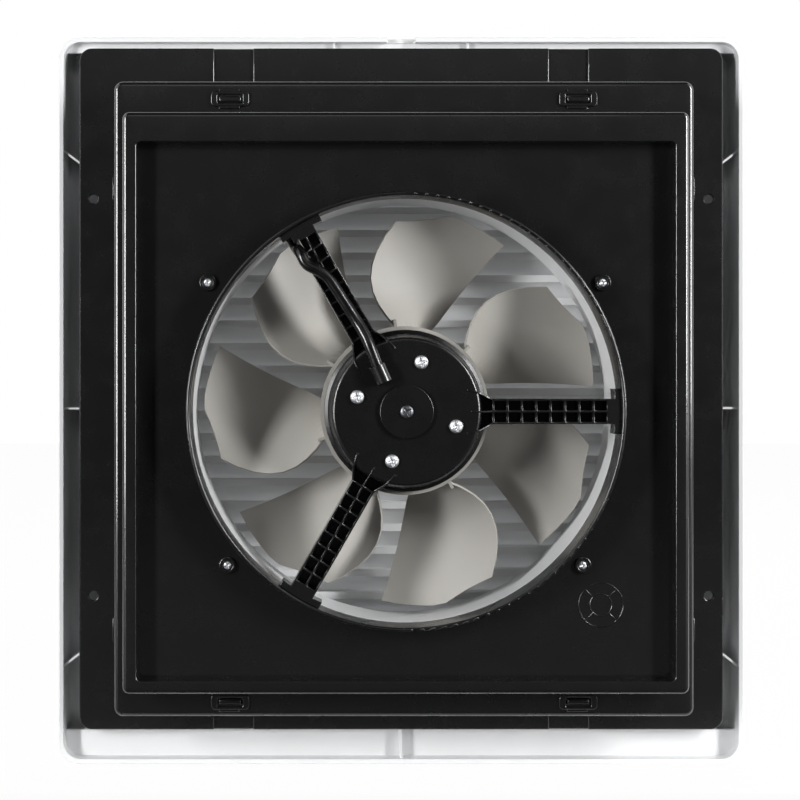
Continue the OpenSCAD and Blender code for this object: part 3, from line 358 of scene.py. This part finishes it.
cover_rear, boss_rear, panel_rear = 0.068, 0.070, 0.050
bm = bmesh.new()
screw_mesh(bm, ring_of([73.5 + 90 * i for i in range(4)], 0.0308, cover_rear),
           head_r=0.0041, head_h=0.0026, shank_r=0.002, shank_len=0.0075, turn=15)
finish_piece(bm, "motor_cover_screws", zinc, "frame", "motor_screws")
bm = bmesh.new()
screw_mesh(bm, ring_of((33, 147, 221, 319), 0.143, panel_rear),
           head_r=0.0027, head_h=0.0019, shank_r=0.0014, shank_len=0.009, turn=20)
finish_piece(bm, "ring_screws", zinc, "frame", "panel_screws")
bm = bmesh.new()
screw_mesh(bm, [(0, 0, boss_rear)],
           head_r=0.004, head_h=0.0016, shank_r=0.002, shank_len=0.009, turn=35)
finish_piece(bm, "hub_screw", dull_zinc, "frame", "centre_screw")
coat("box_screws", zinc)
coat("lid_screws", zinc)


# The white pieces on the room side: the cover, its louvre of inclined slats and the intake
# duct. They are injection moulded in polished tools and snapped or slid together.
# White ABS: a clean, slightly cool white with a gloss that shows soft lights
white_abs = moulded("gloss white ABS", "#e9eaeb", "#e3e4e5", roughness=0.3,
                    grain_mm=1.6, grain_depth_mm=0.006)
moulding("front_cover", "room_cover_moulding", white_abs, edge_mm=0.4)
moulding("louvre_grille", "louvre_moulding", white_abs, edge_mm=0.3)
moulding("intake_duct", "intake_duct_moulding", white_abs, edge_mm=0.3)


# The impeller: hub and seven blades, moulded in one shot and pressed on the shaft under a cap
# nut of the same plastic.
# Glass-filled SAN: the fibres leave it warm grey and silky, with faint streaks
san = moulded("glass-filled SAN", "#aba8a2", "#a3a09a", roughness=0.52,
              grain_mm=0.8, grain_depth_mm=0.015)
finish_piece(welded("impeller"), "bladed_impeller", san, "rotor", "impeller",
             sharp=38)
coat("impeller_nut", san)


# The motor cable: three wires in a sleeve, 6.8 mm thick. It comes from the box of terminals,
# goes through the duct wall and lies along the upper left arm into the motor cover.
# Glossy PVC: deep black, with a wet highlight along its back that the wires inside wave a little
knead_mm, knead_depth_mm = 6, 0.2
pvc, tree, shader = blank("glossy PVC sleeve")
shader.inputs["Base Color"].default_value = paint("#0c0c0d")
shader.inputs["IOR"].default_value = 1.54
place = add(tree, "ShaderNodeTexCoord").outputs["Object"]
kneading = add(tree, "ShaderNodeTexNoise", {"Vector": place},
               {"Scale": 1000 / knead_mm, "Detail": 3})
gloss = add(tree, "ShaderNodeMapRange", {0: kneading.outputs[0]}, {1: 0.3, 2: 0.7, 3: 0.2, 4: 0.3})
tree.links.new(gloss.outputs[0], shader.inputs["Roughness"])
skin = add(tree, "ShaderNodeBump", {"Height": kneading.outputs[0]},
           {"Strength": 0.4, "Distance": knead_depth_mm / 1000})
tree.links.new(skin.outputs[0], shader.inputs["Normal"])
# The route of the solid, in millimetres: to the right, towards the room, up
route = [(-117, -36, 130), (-113, -36, 130), (-108.5, -36, 130), (-100, -36.6, 128.3),
         (-90.5, -38.2, 123), (-83, -39.3, 116.5), (-75.8, -39.6, 108.3), (-71.8, -39.6, 102.2),
         (-69.1, -39.6, 98.2), (-67.4, -40.9, 94.7), (-65.9, -44.3, 91.9), (-65.1, -50, 90.6),
         (-64.9, -56, 90.3), (-64.7, -61.5, 89.8), (-63.1, -66.2, 87.1), (-59.5, -67.8, 81),
         (-53, -67.9, 77.3), (-47.5, -67.8, 73.2), (-42.1, -67.8, 66), (-36.8, -67.8, 57.7),
         (-29.5, -68, 46.4), (-25.5, -70, 39.4), (-22.8, -71.6, 33.7), (-20.6, -72.1, 28.3),
         (-19, -72.1, 24.2), (-17.6, -72.1, 20.5), (-16.3, -72.1, 17.3), (-15, -72.1, 14.4)]
sleeve_r = 0.0034
sleeve_curve = bpy.data.curves.new("motor_cable_sleeve", "CURVE")
sleeve_curve.dimensions = "3D"
sleeve_curve.bevel_depth = sleeve_r
sleeve_curve.bevel_resolution = 6
sleeve_curve.resolution_u = 6
sleeve_curve.use_fill_caps = True
spline = sleeve_curve.splines.new("BEZIER")
spline.bezier_points.add(len(route) - 1)
for point, place in zip(spline.bezier_points, route):
    point.co = Vector(place) / 1000
    point.handle_left_type = point.handle_right_type = "AUTO"
sleeve_curve.materials.append(pvc)
sleeve = stand("motor_cable_sleeve", sleeve_curve)
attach(sleeve, "frame")
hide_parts("motor_cable")
# Soft rubber: the grommets are dull and slightly powdery
rubber = moulded("moulded rubber", "#1b1b1b", "#232323", roughness=0.68,
                 grain_mm=0.6, grain_depth_mm=0.03)
coat("cable_grommets", rubber)


# The motor behind its cover: two die-cast shells hold a stack of stamped laminations with
# copper coils, and four long bolts close them. Pits, pores and lines too fine to see are drawn
# coarser, so that they show.
def worked(name, colour, shade, metallic, roughness, spot_mm, depth_mm, line_mm=0):
    """A worked surface: blotches of a given size, or light and dark lines of a given width."""
    made, tree, shader = blank(name)
    shader.inputs["Metallic"].default_value = metallic
    place = add(tree, "ShaderNodeTexCoord").outputs["Object"]
    spots = add(tree, "ShaderNodeTexNoise", {"Vector": place},
                {"Scale": 1000 / spot_mm, "Detail": 5, "Roughness": 0.6})
    height = spots.outputs[0]
    if line_mm:
        # A Wave node turns 20 radians per unit, and one line takes half a turn
        lines = add(tree, "ShaderNodeTexWave", {"Vector": place},
                    {"Scale": 1000 / line_mm / 20 * math.pi, "Distortion": 0.3},
                    bands_direction="Y")
        height = lines.outputs["Fac"]
    tint = add(tree, "ShaderNodeMix", {0: height}, {6: paint(colour), 7: paint(shade)},
               data_type="RGBA")
    tree.links.new(tint.outputs[2], shader.inputs["Base Color"])
    gloss = add(tree, "ShaderNodeMapRange", {0: spots.outputs[0]},
                {1: 0.3, 2: 0.7, 3: roughness - 0.06, 4: roughness + 0.1})
    tree.links.new(gloss.outputs[0], shader.inputs["Roughness"])
    skin = add(tree, "ShaderNodeBump", {"Height": height},
               {"Strength": 0.7, "Distance": depth_mm / 1000})
    tree.links.new(skin.outputs[0], shader.inputs["Normal"])
    return made


# Die-cast aluminium: grey, slightly pitted
cast = worked("die-cast aluminium", "#a9abad", "#8d8f92", metallic=1, roughness=0.42,
              spot_mm=1.5, depth_mm=0.06)
for node in ("motor_rear_shell", "motor_front_shell", "rotor_cage"):
    coat(node, cast)
# Electrical steel: sheets of 0.5 mm, drawn 1 mm thick so that the lines show
laminated = worked("stacked electrical steel", "#7b7f84", "#4c4f54", metallic=1, roughness=0.4,
                   spot_mm=4, depth_mm=0.12, line_mm=1)
for node in ("stator_core", "rotor_core"):
    coat(node, laminated)
# Enamelled copper: amber lacquer over wires of 0.6 mm, drawn twice as thick so that they show
copper = worked("enamelled copper wire", "#b5652b", "#7c3c16", metallic=0.8, roughness=0.3,
                spot_mm=1.2, depth_mm=0.2, line_mm=1.2)
coat("stator_windings", copper)
# Sintered bronze: matt, with pores that hold the oil
bronze = worked("sintered bronze", "#9a7846", "#6f5430", metallic=1, roughness=0.5,
                spot_mm=0.5, depth_mm=0.03)
for node in ("rear_bush", "front_bush"):
    coat(node, bronze)
# Felt: soft and matt, yellowed by the oil
felt = worked("oiled wool felt", "#cdc4a8", "#a79c7c", metallic=0, roughness=0.95,
              spot_mm=0.8, depth_mm=0.2)
coat("oil_felts", felt)
# Bright drawn steel: the shaft, the bolts and the retainers have a tight, clear highlight
drawn = worked("bright drawn steel", "#c3c5c8", "#9ea1a6", metallic=1, roughness=0.22,
               spot_mm=0.8, depth_mm=0.01)
for node in ("motor_shaft", "motor_bolts", "bush_retainers"):
    coat(node, drawn)
# Nylon: waxy and off white
nylon = moulded("nylon", "#e4e0d2", "#dad6c6", roughness=0.4,
                grain_mm=0.9, grain_depth_mm=0.01)
coat("thrust_washers", nylon)


# In the box of terminals: a nylon block with brass sleeves for the wires, and the capacitor of
# the motor in its moulded case. The same brass is moulded into the hub of the impeller.
# Cream nylon: waxy as the washers, and yellower
cream_nylon = moulded("cream nylon", "#dcd6c2", "#d0c9b2", roughness=0.45,
                      grain_mm=0.9, grain_depth_mm=0.015)
coat("terminal_block", cream_nylon)
# Turned brass: clear yellow, with faint marks of the tool
brass = worked("turned brass", "#c9a54a", "#a8853a", metallic=1, roughness=0.26,
               spot_mm=0.9, depth_mm=0.02)
for node in ("terminal_contacts", "impeller_insert"):
    coat(node, brass)
# Grey polypropylene: pale, with a soft and slightly greasy sheen
case = moulded("grey polypropylene", "#c6c8ca", "#babcbf", roughness=0.5,
               grain_mm=1.1, grain_depth_mm=0.02)
coat("capacitor", case)
